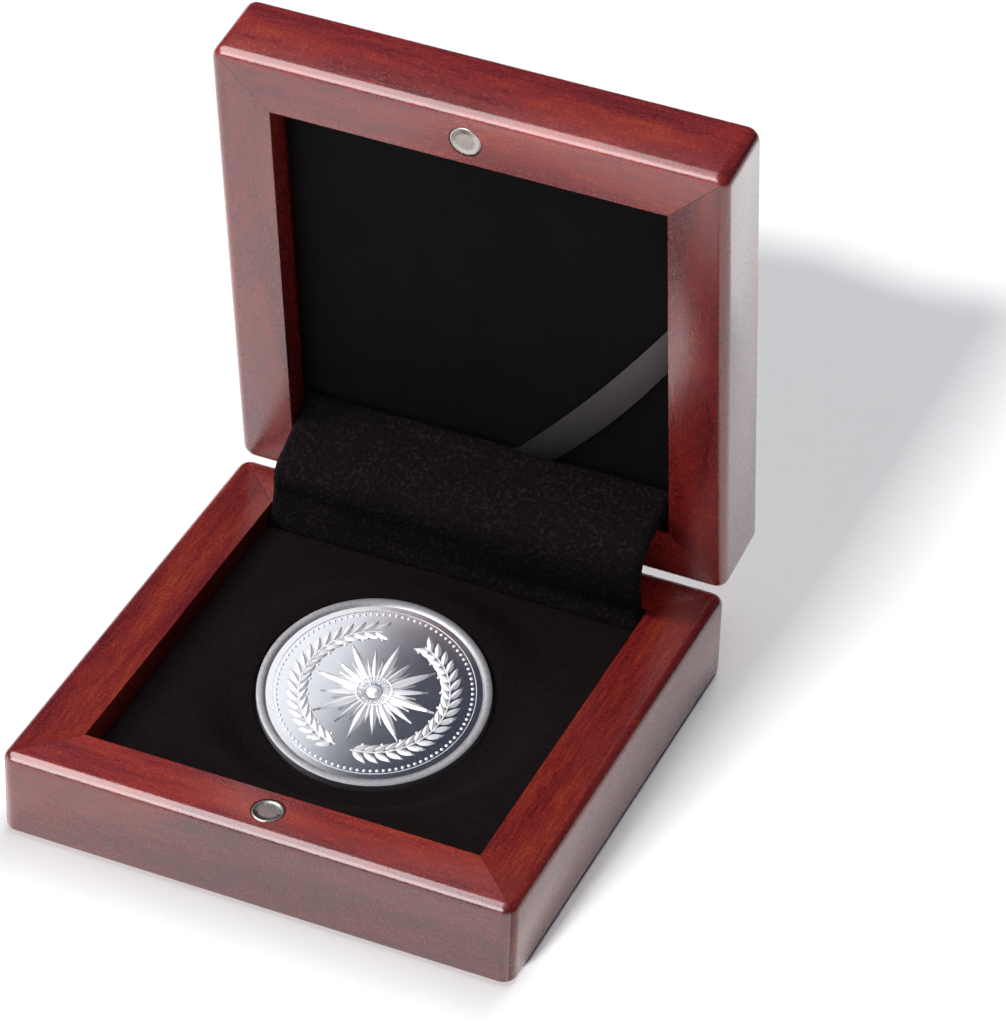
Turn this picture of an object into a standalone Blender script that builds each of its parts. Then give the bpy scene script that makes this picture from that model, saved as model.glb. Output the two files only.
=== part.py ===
# Coin display case: a small hinged wooden box that stands open and shows one coin on black velour.
#
# Metres, +Z up. X runs to the right, Y to the back, and the origin lies on the underside of the
# base felt, below the middle of the case. The case stands open; the lid turns about the hinge pins.

import math

import bmesh
import bpy
from mathutils import Matrix, Vector

for old in list(bpy.data.objects):
    bpy.data.objects.remove(old, do_unlink=True)

# Case: outer sizes and wooden rails
case_width = 0.0750
case_depth = 0.0750
base_rail_height = 0.0129
lid_height = 0.0124
rail_width = 0.0085
corner_radius = 0.0020
rim_radius = 0.0014
foot_radius = 0.0005
mitre_gap = 0.00004
closed_gap = 0.00015
rabbet_width = 0.0030
panel_gap = 0.00015
bottom_panel_thickness = 0.0020
top_panel_thickness = 0.0026
felt_thickness = 0.0005
felt_inset = 0.0020
felt_corner_radius = 0.0010

# Hinge axis and the lid's travel
axis_inset = 0.00025
axis_rise = 0.0006
open_angle = math.radians(82.4)

# Magnets that hold the case shut
magnet_radius = 0.0023
magnet_thickness = 0.0020
magnet_inset = 0.0048
magnet_clearance = 0.0001

# Velour insert with its sloping coin seat
insert_front_depth = 0.0033
insert_back_depth = 0.0021
insert_clearance = 0.0003
insert_height_gap = 0.0001
cover_thickness = 0.0006
cover_gap = 0.0003
layer_gap = 0.0001
table_radius = 0.0178
slope_radius = 0.0252
coin_proud = 0.0006

# Coin
coin_radius = 0.01625
coin_thickness = 0.0021
coin_rim_width = 0.0013
coin_rim_height = 0.00025
coin_edge_bevel = 0.00012
coin_clearance = 0.00025
coin_centre_x = 0.0007
coin_centre_y = -0.0005
coin_depth = 0.0028
coin_slope = math.radians(13.9)
coin_facing = math.radians(19.8)
seat_pad_thickness = 0.0006

# Lid lining
liner_depth = 0.0038
lining_thickness = 0.0005
liner_board_thickness = 0.0012
padding_gap = 0.0001

# Velvet flap over the hinge
flap_thickness = 0.0009
flap_side_gap = 0.0005
flap_base_stand = 0.0016
flap_lid_stand = 0.0034
flap_bend_radius = 0.0042
flap_base_tab = 0.0045
flap_lid_tab = 0.0014
flap_clearance = 0.0003

# Satin ribbon across one corner of the lid lining
ribbon_width = 0.0048
ribbon_thickness = 0.0003
ribbon_side_reach = 0.0311
ribbon_end_reach = 0.0250
ribbon_lift = 0.0002

# Butt hinges, two alike
hinge_centre_offset = 0.0160
hinge_length = 0.0140
leaf_depth = 0.0068
leaf_thickness = 0.0007
leaf_gap = 0.0002
mortise_clearance = 0.0002
knuckle_radius = 0.00115
knuckle_gap = 0.0001
knuckle_side_share = 0.3
pin_radius = 0.0005
pin_clearance = 0.00006
pin_overhang = 0.0001
notch_clearance = 0.0003
leaf_slot_clearance = 0.0001

# Countersunk hinge screws
screw_length = 0.0042
screw_radius = 0.0006
screw_head_radius = 0.0012
screw_head_height = 0.0005
screw_tip_length = 0.0010
screw_tip_radius = 0.00015
screw_slot_width = 0.0003
screw_slot_depth = 0.0002
screw_offset = 0.0040
screw_reach = 0.0042
screw_clearance = 0.00008

# Every cut runs past the faces that it opens
overrun = 0.0010

# Steps of the round shapes
corner_steps = 5
rim_steps = 5
foot_steps = 2
bend_steps = 8
magnet_steps = 32
coin_steps = 64
hinge_steps = 20
screw_steps = 14
side_steps = 10
slope_steps = 4

mating_z = felt_thickness + base_rail_height
half_width = case_width / 2
half_depth = case_depth / 2
inner_x = half_width - rail_width
inner_y = half_depth - rail_width
panel_top_z = felt_thickness + bottom_panel_thickness
axis_y = half_depth - axis_inset
axis_z = mating_z + axis_rise
lid_z = mating_z + closed_gap


def material(name, colour, roughness, metallic=0.0):
    """A Principled material with one colour, roughness and metallic value."""
    made = bpy.data.materials.new(name)
    made.use_nodes = True
    shader = made.node_tree.nodes["Principled BSDF"]
    shader.inputs["Base Color"].default_value = (*colour, 1.0)
    shader.inputs["Roughness"].default_value = roughness
    shader.inputs["Metallic"].default_value = metallic
    made.diffuse_color = (*colour, 1.0)
    return made


mahogany = material("mahogany_lacquer", (0.22, 0.030, 0.024), 0.32)
plywood = material("panel_board", (0.19, 0.026, 0.021), 0.38)
felt = material("black_felt", (0.012, 0.012, 0.013), 0.95)
velour = material("black_velour", (0.008, 0.007, 0.009), 0.95)
satin = material("black_lining", (0.009, 0.008, 0.009), 0.70)
ribbon_satin = material("grey_ribbon", (0.060, 0.058, 0.058), 0.40)
foam = material("grey_foam", (0.10, 0.10, 0.10), 0.90)
board = material("liner_board", (0.16, 0.14, 0.11), 0.85)
nickel = material("nickel_magnet", (0.62, 0.60, 0.57), 0.25, 1.0)
brass = material("brass_hinge", (0.60, 0.42, 0.16), 0.30, 1.0)
silver = material("silver_coin", (0.80, 0.80, 0.82), 0.15, 1.0)


def empty(name, location, rotation=None):
    """A parent empty, which carries the pieces of a moving group."""
    made = bpy.data.objects.new(name, None)
    bpy.context.collection.objects.link(made)
    made.location = location
    if rotation is not None:
        made.rotation_euler = rotation.to_euler()
    return made


def mesh_object(name, points, faces, look, parent=None):
    """An object from points and faces, with its faces turned outward."""
    mesh = bpy.data.meshes.new(name)
    mesh.from_pydata([tuple(point) for point in points], [], faces)
    shape = bmesh.new()
    shape.from_mesh(mesh)
    bmesh.ops.recalc_face_normals(shape, faces=shape.faces)
    shape.to_mesh(mesh)
    shape.free()
    made = bpy.data.objects.new(name, mesh)
    bpy.context.collection.objects.link(made)
    if look is not None:
        mesh.materials.append(look)
        mesh.shade_smooth()
        mesh.set_sharp_from_angle(angle=math.radians(30))
    made.parent = parent
    return made


def lofted(rings, closed=False):
    """Points and faces that join equal rings; the two end rings are capped unless closed."""
    count = len(rings[0])
    points = [point for ring in rings for point in ring]
    faces = []
    spans = len(rings) if closed else len(rings) - 1
    for span in range(spans):
        low = span * count
        high = ((span + 1) % len(rings)) * count
        for step in range(count):
            after = (step + 1) % count
            faces.append((low + step, low + after, high + after, high + step))
    if not closed:
        faces.append(tuple(reversed(range(count))))
        faces.append(tuple(range((len(rings) - 1) * count, len(rings) * count)))
    return points, faces


def block(name, low, high, look, parent=None):
    """A rectangular piece between two corners."""
    corners = [(low[0], low[1]), (high[0], low[1]), (high[0], high[1]), (low[0], high[1])]
    rings = [[(x, y, z) for x, y in corners] for z in (low[2], high[2])]
    return mesh_object(name, *lofted(rings), look, parent)


def turned(name, profile, steps, frame, look, parent=None):
    """A solid of revolution about the Z axis of frame; profile is (radius, height) upward."""
    rings = []
    for radius, height in profile:
        ring = []
        for step in range(steps):
            turn = 2 * math.pi * step / steps
            ring.append(frame @ Vector((radius * math.cos(turn), radius * math.sin(turn), height)))
        rings.append(ring)
    return mesh_object(name, *lofted(rings), look, parent)


def use_as_tool(target, tool, operation):
    """Adds a Boolean that cuts or joins the target with a hidden tool object."""
    tool.hide_render = True
    tool.display_type = "WIRE"
    change = target.modifiers.new(tool.name, "BOOLEAN")
    change.operation = operation
    change.object = tool
    change.solver = "EXACT"


def cut(target, tool):
    use_as_tool(target, tool, "DIFFERENCE")


def join(target, tool):
    use_as_tool(target, tool, "UNION")


# Frame of the lid: its pieces are drawn shut and hang from an empty on the hinge axis
lid_axis = empty("lid_axis", (0, axis_y, axis_z), Matrix.Rotation(-open_angle, 3, "X"))


def in_lid(point):
    """A point of the shut lid, seen from the hinge axis."""
    return Vector((point[0], point[1] - axis_y, point[2] - axis_z))


def lid_point(x, y, z):
    """Where a point of the shut lid lies when the case stands open."""
    turned_point = Matrix.Rotation(-open_angle, 3, "X") @ in_lid((x, y, z))
    return turned_point + Vector((0, axis_y, axis_z))


def rail(name, side, mate_z, outer_z, panel_thickness, outer_edge_radius, outer_edge_steps, parent=None):
    """One mitred rail of a frame. side counts quarter turns: 0 front, 1 right, 2 rear, 3 left.

    mate_z is the face that meets the other half, outer_z the far face with the panel rabbet."""
    along = half_width if side % 2 == 0 else half_depth
    across = half_depth if side % 2 == 0 else half_width
    up = 1 if mate_z > outer_z else -1
    levels = []
    for step in range(outer_edge_steps + 1):
        turn = math.pi / 2 * step / outer_edge_steps
        inset = outer_edge_radius * (1 - math.sin(turn))
        levels.append((inset, outer_z + up * outer_edge_radius * (1 - math.cos(turn))))
    for step in range(rim_steps + 1):
        turn = math.pi / 2 * step / rim_steps
        inset = rim_radius * (1 - math.cos(turn))
        levels.append((inset, mate_z - up * rim_radius * (1 - math.sin(turn))))
    inner_levels = [
        (rail_width, mate_z),
        (rail_width, outer_z + up * panel_thickness),
        (rail_width - rabbet_width, outer_z + up * panel_thickness),
        (rail_width - rabbet_width, outer_z),
    ]
    columns = 2 * (corner_steps + 1)
    points = []
    for inset, height in levels:
        radius = corner_radius - inset
        for end in (-1, 1):
            arc = []
            for step in range(corner_steps + 1):
                turn = math.pi / 4 * step / corner_steps
                x = along - corner_radius + radius * math.sin(turn)
                y = across - corner_radius + radius * math.cos(turn)
                arc.append((end * x, -y, height))
            arc[-1] = (arc[-1][0] - end * mitre_gap / math.sqrt(2), arc[-1][1], height)
            points += arc if end > 0 else reversed(arc)
    for inset, height in inner_levels:
        reach = along - inset - mitre_gap / math.sqrt(2)
        points += [(-reach, inset - across, height), (reach, inset - across, height)]
    faces = []
    outer_count = len(levels)
    for level in range(outer_count - 1):
        for column in range(columns - 1):
            low = level * columns + column
            faces.append((low, low + 1, low + columns + 1, low + columns))
    start = outer_count * columns
    top_row = (outer_count - 1) * columns
    faces.append(tuple(range(top_row, top_row + columns)) + (start + 1, start))
    for pair in range(3):
        low = start + 2 * pair
        faces.append((low, low + 1, low + 3, low + 2))
    faces.append(tuple(range(columns)) + (start + 7, start + 6))
    left_end = [level * columns for level in range(outer_count)] + [start, start + 2, start + 4, start + 6]
    right_end = [level * columns + columns - 1 for level in range(outer_count)]
    right_end += [start + 1, start + 3, start + 5, start + 7]
    faces.append(tuple(left_end))
    faces.append(tuple(right_end))
    turn = Matrix.Rotation(math.pi / 2 * side, 3, "Z")
    placed = [turn @ Vector(point) for point in points]
    if parent is not None:
        placed = [in_lid(point) for point in placed]
    return mesh_object(name, placed, faces, mahogany, parent)


def base_frame():
    """Four mitred rails of the base, front, right, rear and left."""
    names = ("base_front_rail", "base_right_rail", "base_rear_rail", "base_left_rail")
    made = {}
    for side, name in enumerate(names):
        made[name] = rail(
            name, side, mating_z, felt_thickness, bottom_panel_thickness, foot_radius, foot_steps
        )
    return made


def lid_frame():
    """Four mitred rails of the lid, drawn shut above the base."""
    names = ("lid_front_rail", "lid_right_rail", "lid_rear_rail", "lid_left_rail")
    made = {}
    for side, name in enumerate(names):
        made[name] = rail(
            name, side, lid_z, lid_z + lid_height, top_panel_thickness, rim_radius, rim_steps, lid_axis
        )
    return made


def panels():
    """Bottom panel and top panel in their rabbets, and the felt under the base."""
    reach_x = inner_x + rabbet_width - panel_gap
    reach_y = inner_y + rabbet_width - panel_gap
    block(
        "base_bottom_panel",
        (-reach_x, -reach_y, felt_thickness + layer_gap),
        (reach_x, reach_y, panel_top_z - layer_gap),
        plywood,
    )
    top_z = lid_z + lid_height
    block(
        "lid_top_panel",
        in_lid((-reach_x, -reach_y, top_z - top_panel_thickness + layer_gap)),
        in_lid((reach_x, reach_y, top_z)),
        plywood,
        lid_axis,
    )
    felt_x = half_width - felt_inset
    felt_y = half_depth - felt_inset
    outline = []
    for corner in range(4):
        sign_x = (1, -1, -1, 1)[corner]
        sign_y = (1, 1, -1, -1)[corner]
        for step in range(corner_steps + 1):
            turn = math.pi / 2 * (corner + step / corner_steps)
            x = sign_x * (felt_x - felt_corner_radius) + felt_corner_radius * math.cos(turn)
            y = sign_y * (felt_y - felt_corner_radius) + felt_corner_radius * math.sin(turn)
            outline.append((x, y))
    rings = [[(x, y, z) for x, y in outline] for z in (0, felt_thickness - layer_gap)]
    mesh_object("base_felt", *lofted(rings), felt)


def magnets(base_rails, lid_rails):
    """A disc magnet in the front rail of each half, in its own bore."""
    y = magnet_inset - half_depth
    profile = [(magnet_radius, 0), (magnet_radius, magnet_thickness)]
    bore = magnet_radius + magnet_clearance
    base_frame_place = Matrix.Translation((0, y, mating_z - magnet_thickness))
    turned("base_magnet", profile, magnet_steps, base_frame_place, nickel)
    base_bore = turned(
        "base_magnet_bore",
        [(bore, -magnet_clearance), (bore, magnet_thickness + overrun)],
        magnet_steps,
        base_frame_place,
        None,
    )
    cut(base_rails["base_front_rail"], base_bore)
    lid_place = Matrix.Translation(in_lid((0, y, lid_z)))
    turned("lid_magnet", profile, magnet_steps, lid_place, nickel, lid_axis)
    lid_bore = turned(
        "lid_magnet_bore",
        [(bore, -overrun), (bore, magnet_thickness + magnet_clearance)],
        magnet_steps,
        lid_place,
        None,
        lid_axis,
    )
    cut(lid_rails["lid_front_rail"], lid_bore)


# Frame of the coin: its origin is the middle of the coin's upper rim, its Z axis the coin's normal
coin_normal = Vector(
    (
        math.sin(coin_slope) * math.sin(coin_facing),
        -math.sin(coin_slope) * math.cos(coin_facing),
        math.cos(coin_slope),
    )
)
coin_centre = Vector((coin_centre_x, coin_centre_y, mating_z - coin_depth))
coin_turn = Vector((0, 0, 1)).rotation_difference(coin_normal).to_matrix()
coin_frame = Matrix.Translation(coin_centre) @ coin_turn.to_4x4()
coin_seat = empty("coin_seat", coin_centre, coin_turn)


def coin():
    """A struck coin: flat fields on both faces inside raised rims."""
    inner = coin_radius - coin_rim_width
    fillet = coin_rim_height
    profile = [
        (inner - fillet, coin_rim_height - coin_thickness),
        (inner, -coin_thickness),
        (coin_radius - coin_edge_bevel, -coin_thickness),
        (coin_radius, coin_edge_bevel - coin_thickness),
        (coin_radius, -coin_edge_bevel),
        (coin_radius - coin_edge_bevel, 0),
        (inner, 0),
        (inner - fillet, -coin_rim_height),
    ]
    turned("coin", profile, coin_steps, Matrix.Identity(4), silver, coin_seat)


def insert_top(x, y, drop):
    """Height of the velour: a plane that rises to the back, and the sloping table under the coin."""
    front_y = -inner_y
    share = (y - front_y) / (2 * inner_y)
    plane = mating_z - insert_front_depth + share * (insert_front_depth - insert_back_depth)
    local = Vector((x - coin_centre.x, y - coin_centre.y))
    table = coin_centre.z - (coin_normal.x * local.x + coin_normal.y * local.y) / coin_normal.z
    table -= coin_proud / coin_normal.z
    share = min(1, max(0, (local.length - table_radius) / (slope_radius - table_radius)))
    share = share * share * (3 - 2 * share)
    return table + share * (plane - table) - drop


def well_ring(directions, radius, depth):
    """A ring of the coin well, square to the coin's normal, depth below the table."""
    ring = []
    for direction in directions:
        flat = Vector((direction.x, direction.y, 0))
        rise = -(coin_normal.x * flat.x + coin_normal.y * flat.y) / coin_normal.z
        spoke = Vector((flat.x, flat.y, rise)).normalized()
        ring.append(coin_centre + radius * spoke - (coin_proud + depth) * coin_normal)
    return ring


def insert():
    """Foam block with the coin well, its velour cover and the pad under the coin."""
    low_x = insert_clearance - inner_x
    high_x = inner_x - insert_clearance
    low_y = insert_clearance - inner_y
    high_y = inner_y - flap_base_stand - flap_thickness / 2 - flap_clearance
    outline = []
    for step in range(side_steps):
        share = step / side_steps
        outline.append((low_x + share * (high_x - low_x), low_y))
    for step in range(side_steps):
        share = step / side_steps
        outline.append((high_x, low_y + share * (high_y - low_y)))
    for step in range(side_steps):
        share = step / side_steps
        outline.append((high_x + share * (low_x - high_x), high_y))
    for step in range(side_steps):
        share = step / side_steps
        outline.append((low_x, high_y + share * (low_y - high_y)))
    directions = [Vector((x - coin_centre.x, y - coin_centre.y)).normalized() for x, y in outline]

    def surface(drop):
        rings = []
        for step in range(slope_steps + 1):
            radius = table_radius + (slope_radius - table_radius) * step / slope_steps
            ring = []
            for direction in directions:
                x = coin_centre.x + radius * direction.x
                y = coin_centre.y + radius * direction.y
                ring.append((x, y, insert_top(x, y, drop)))
            rings.append(ring)
        rings.append([(x, y, insert_top(x, y, drop)) for x, y in outline])
        return rings

    well_radius = coin_radius + coin_clearance
    cover_drop = cover_thickness * coin_normal.z
    upper = surface(0)
    lower = surface(cover_thickness)
    rings = [well_ring(directions, well_radius, 0)] + upper
    rings += list(reversed(lower)) + [well_ring(directions, well_radius, cover_drop)]
    mesh_object("insert_cover", *lofted(rings, closed=True), velour)

    block_drop = cover_thickness + cover_gap
    seat_depth = coin_thickness - coin_proud + seat_pad_thickness + 3 * layer_gap
    top_rings = surface(block_drop)
    foot = [(x, y, panel_top_z + insert_height_gap) for x, y in outline]
    rings = [well_ring(directions, well_radius, seat_depth)]
    rings.append(well_ring(directions, well_radius, block_drop * coin_normal.z))
    rings += top_rings
    rings.append(foot)
    mesh_object("insert_block", *lofted(rings), foam)

    pad_top = -coin_thickness - layer_gap
    pad_radius = coin_radius
    profile = [(pad_radius, pad_top - seat_pad_thickness), (pad_radius, pad_top)]
    turned("coin_seat_pad", profile, magnet_steps, coin_frame, velour)


def lid_lining():
    """Foam padding, liner board and black lining in the lid, short of the flap at the rear."""
    low_x = insert_clearance - inner_x
    high_x = inner_x - insert_clearance
    low_y = insert_clearance - inner_y
    short_y = inner_y - flap_lid_stand - flap_thickness / 2 - flap_clearance
    full_y = inner_y - insert_clearance
    lining_z = lid_z + liner_depth
    board_z = lining_z + lining_thickness + layer_gap
    padding_z = board_z + liner_board_thickness + layer_gap
    ceiling_z = lid_z + lid_height - top_panel_thickness - padding_gap
    block(
        "lid_lining",
        in_lid((low_x, low_y, lining_z)),
        in_lid((high_x, short_y, lining_z + lining_thickness)),
        satin,
        lid_axis,
    )
    block(
        "lid_liner_board",
        in_lid((low_x, low_y, board_z)),
        in_lid((high_x, short_y, board_z + liner_board_thickness)),
        board,
        lid_axis,
    )
    block(
        "lid_padding",
        in_lid((low_x, low_y, padding_z)),
        in_lid((high_x, full_y, ceiling_z)),
        foam,
        lid_axis,
    )
    ribbon_z = lining_z - ribbon_lift
    edge = Vector((ribbon_end_reach, ribbon_side_reach)).normalized()
    side_width = ribbon_width / edge.x
    end_width = ribbon_width / edge.y
    corners = [
        (high_x, short_y - ribbon_side_reach),
        (high_x, short_y - ribbon_side_reach + side_width),
        (high_x - ribbon_end_reach + end_width, short_y),
        (high_x - ribbon_end_reach, short_y),
    ]
    rings = []
    for z in (ribbon_z - ribbon_thickness, ribbon_z):
        rings.append([in_lid((x, y, z)) for x, y in corners])
    mesh_object("certificate_ribbon", *lofted(rings), ribbon_satin, lid_axis)


def hinge_flap():
    """The velvet flap: up behind the insert, round the bend, and behind the liner board."""
    base_y = inner_y - flap_base_stand
    lid_y = inner_y - flap_lid_stand
    start = Vector((base_y, mating_z - flap_base_tab))
    end_point = lid_point(0, lid_y, lid_z + liner_depth + flap_lid_tab)
    end = Vector((end_point.y, end_point.z))
    back = Vector((math.sin(open_angle), math.cos(open_angle)))
    meet = Vector((base_y, end.y - (end.x - base_y) * back.y / back.x))
    tangent = flap_bend_radius * math.tan(open_angle / 2)
    bend_centre = meet + Vector((flap_bend_radius, -tangent))
    path = [(start, Vector((-1, 0)))]
    for step in range(bend_steps + 1):
        turn = open_angle * step / bend_steps
        outward = Vector((-math.cos(turn), math.sin(turn)))
        path.append((bend_centre + flap_bend_radius * outward, outward))
    path.append((end, Vector((-math.cos(open_angle), math.sin(open_angle)))))
    half = flap_thickness / 2
    section = [point + half * outward for point, outward in path]
    section += [point - half * outward for point, outward in reversed(path)]
    reach = inner_x - flap_side_gap
    rings = [[(x, point.x, point.y) for point in section] for x in (-reach, reach)]
    mesh_object("hinge_flap", *lofted(rings), velour)


def screw(name, frame, parent=None):
    """A slotted countersunk screw; frame's Z axis points out of the head."""
    profile = [
        (screw_tip_radius, -screw_length),
        (screw_radius, screw_tip_length - screw_length),
        (screw_radius, screw_radius - screw_head_radius - screw_head_height / 2),
        (screw_head_radius, -screw_head_height / 2),
        (screw_head_radius, 0),
    ]
    made = turned(name, profile, screw_steps, frame, brass, parent)
    reach = screw_head_radius + overrun
    slot = block(
        name + "_slot",
        (-reach, -screw_slot_width / 2, -screw_slot_depth),
        (reach, screw_slot_width / 2, overrun),
        None,
        parent,
    )
    slot.data.transform(frame)
    cut(made, slot)


def screw_hole(name, frame, parent=None):
    """The countersunk hole that a screw passes through, with its clearance."""
    wide = screw_head_radius + screw_clearance
    narrow = screw_radius + screw_clearance
    profile = [
        (narrow, -screw_length - screw_clearance),
        (narrow, narrow - wide - screw_head_height / 2 - screw_clearance),
        (wide, -screw_head_height / 2 - screw_clearance),
        (wide, overrun),
    ]
    return turned(name, profile, screw_steps, frame, None, parent)


def hinge(side_name, centre_x, base_rail, lid_rail):
    """One butt hinge: two leaves with their knuckles, a pin and four screws."""
    low_x = centre_x - hinge_length / 2
    high_x = centre_x + hinge_length / 2
    side = hinge_length * knuckle_side_share
    spans = (
        (low_x, low_x + side),
        (low_x + side + knuckle_gap, high_x - side - knuckle_gap),
        (high_x - side, high_x),
    )
    axis_frame = Matrix.Translation((0, axis_y, axis_z)) @ Matrix.Rotation(math.pi / 2, 4, "Y")
    lid_frame_place = Matrix.Rotation(math.pi / 2, 4, "Y")
    bore = pin_radius + pin_clearance
    leaf_front = axis_y - leaf_depth
    slot_radius = knuckle_radius + leaf_slot_clearance

    base_top = axis_z - leaf_gap / 2
    base_low = base_top - leaf_thickness
    base_leaf = block(
        side_name + "_hinge_base_leaf",
        (low_x, leaf_front, base_low),
        (high_x, axis_y, base_top),
        brass,
    )
    lid_low = axis_z + leaf_gap / 2
    lid_top = lid_low + leaf_thickness
    lid_leaf = block(
        side_name + "_hinge_lid_leaf",
        in_lid((low_x, leaf_front, lid_low)),
        in_lid((high_x, axis_y, lid_top)),
        brass,
        lid_axis,
    )
    for place, (start, stop) in enumerate(spans):
        own, own_frame, own_parent = base_leaf, axis_frame, None
        other, other_frame, other_parent = lid_leaf, lid_frame_place, lid_axis
        if place == 1:
            own, own_frame, own_parent, other, other_frame, other_parent = (
                other, other_frame, other_parent, own, own_frame, own_parent
            )
        label = side_name + "_knuckle_" + str(place + 1)
        sleeve = turned(
            label, [(knuckle_radius, start), (knuckle_radius, stop)], hinge_steps, own_frame, None, own_parent
        )
        join(own, sleeve)
        room = turned(
            label + "_room",
            [(slot_radius, start - knuckle_gap), (slot_radius, stop + knuckle_gap)],
            hinge_steps,
            other_frame,
            None,
            other_parent,
        )
        cut(other, room)
    for leaf, frame, parent in ((base_leaf, axis_frame, None), (lid_leaf, lid_frame_place, lid_axis)):
        pin_bore = turned(
            leaf.name + "_bore",
            [(bore, low_x - overrun), (bore, high_x + overrun)],
            hinge_steps,
            frame,
            None,
            parent,
        )
        cut(leaf, pin_bore)
    turned(
        side_name + "_hinge_pin",
        [(pin_radius, low_x - pin_overhang), (pin_radius, high_x + pin_overhang)],
        hinge_steps,
        axis_frame,
        brass,
    )

    grow = mortise_clearance
    notch_radius = knuckle_radius + notch_clearance
    notch_ends = [(notch_radius, low_x - notch_clearance), (notch_radius, high_x + notch_clearance)]
    base_mortise = block(
        side_name + "_base_mortise",
        (low_x - grow, leaf_front - grow, base_low - layer_gap),
        (high_x + grow, axis_y, base_top + overrun),
        None,
    )
    cut(base_rail, base_mortise)
    cut(base_rail, turned(side_name + "_base_notch", notch_ends, hinge_steps, axis_frame, None))
    lid_mortise = block(
        side_name + "_lid_mortise",
        in_lid((low_x - grow, leaf_front - grow, base_low - overrun)),
        in_lid((high_x + grow, axis_y, lid_top + layer_gap)),
        None,
        lid_axis,
    )
    cut(lid_rail, lid_mortise)
    lid_notch = turned(side_name + "_lid_notch", notch_ends, hinge_steps, lid_frame_place, None, lid_axis)
    cut(lid_rail, lid_notch)

    screw_y = axis_y - screw_reach
    for place, x in enumerate((centre_x - screw_offset, centre_x + screw_offset)):
        number = str(place + 1)
        down = Matrix.Translation((x, screw_y, base_top))
        screw(side_name + "_hinge_base_screw_" + number, down)
        hole = screw_hole(side_name + "_base_hole_" + number, down)
        cut(base_leaf, hole)
        cut(base_rail, hole)
        up = Matrix.Translation(in_lid((x, screw_y, lid_low))) @ Matrix.Rotation(math.pi, 4, "X")
        screw(side_name + "_hinge_lid_screw_" + number, up, lid_axis)
        lid_hole = screw_hole(side_name + "_lid_hole_" + number, up, lid_axis)
        cut(lid_leaf, lid_hole)
        cut(lid_rail, lid_hole)


base_rails = base_frame()
lid_rails = lid_frame()
panels()
magnets(base_rails, lid_rails)
coin()
insert()
lid_lining()
hinge_flap()
for side_name, centre_x in (("left", -hinge_centre_offset), ("right", hinge_centre_offset)):
    hinge(side_name, centre_x, base_rails["base_rear_rail"], lid_rails["lid_rear_rail"])
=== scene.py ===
"""Looks for the coin display case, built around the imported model. Metres, +Z up."""

import math  # noqa: E402

import bmesh  # noqa: E402
import bpy  # noqa: E402
from mathutils import Matrix, Vector, noise  # noqa: E402


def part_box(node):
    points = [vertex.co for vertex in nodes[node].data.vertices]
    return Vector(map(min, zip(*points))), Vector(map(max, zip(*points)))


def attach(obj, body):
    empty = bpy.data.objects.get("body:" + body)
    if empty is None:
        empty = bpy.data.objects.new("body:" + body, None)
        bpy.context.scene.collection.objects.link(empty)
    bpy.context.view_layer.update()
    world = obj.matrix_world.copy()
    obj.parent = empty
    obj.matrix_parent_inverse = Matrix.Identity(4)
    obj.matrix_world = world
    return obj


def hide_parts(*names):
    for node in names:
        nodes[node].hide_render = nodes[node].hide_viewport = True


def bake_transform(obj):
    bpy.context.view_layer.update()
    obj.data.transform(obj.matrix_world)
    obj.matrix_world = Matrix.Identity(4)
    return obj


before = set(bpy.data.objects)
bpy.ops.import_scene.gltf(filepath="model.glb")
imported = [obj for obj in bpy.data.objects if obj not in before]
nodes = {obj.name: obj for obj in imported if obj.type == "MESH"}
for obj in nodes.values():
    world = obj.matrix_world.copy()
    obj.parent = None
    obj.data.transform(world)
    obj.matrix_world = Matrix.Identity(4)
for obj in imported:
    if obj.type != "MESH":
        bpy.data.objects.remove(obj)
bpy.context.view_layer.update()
millimetre = 0.001

# Places taken from the solids
mating_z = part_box("base_front_rail")[1].z
inner_y = 0.0290
axis_y = 0.03725
axis_z = mating_z + 0.0006
lid_z = mating_z + 0.00015
open_angle = math.radians(82.4)
coin_radius = 0.01625
coin_thickness = 0.0021
coin_slope = math.radians(13.9)
coin_facing = math.radians(19.8)
coin_centre = Vector((0.0007, -0.0005, mating_z - 0.0028))
coin_normal = Vector(
    (
        math.sin(coin_slope) * math.sin(coin_facing),
        -math.sin(coin_slope) * math.cos(coin_facing),
        math.cos(coin_slope),
    )
)
coin_place = Matrix.Translation(coin_centre)
coin_place = coin_place @ Vector((0, 0, 1)).rotation_difference(coin_normal).to_matrix().to_4x4()
lid_turn = Matrix.Rotation(-open_angle, 4, "X")
lid_place = Matrix.Translation((0, axis_y, axis_z)) @ lid_turn @ Matrix.Translation((0, -axis_y, -axis_z))


# Materials


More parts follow.
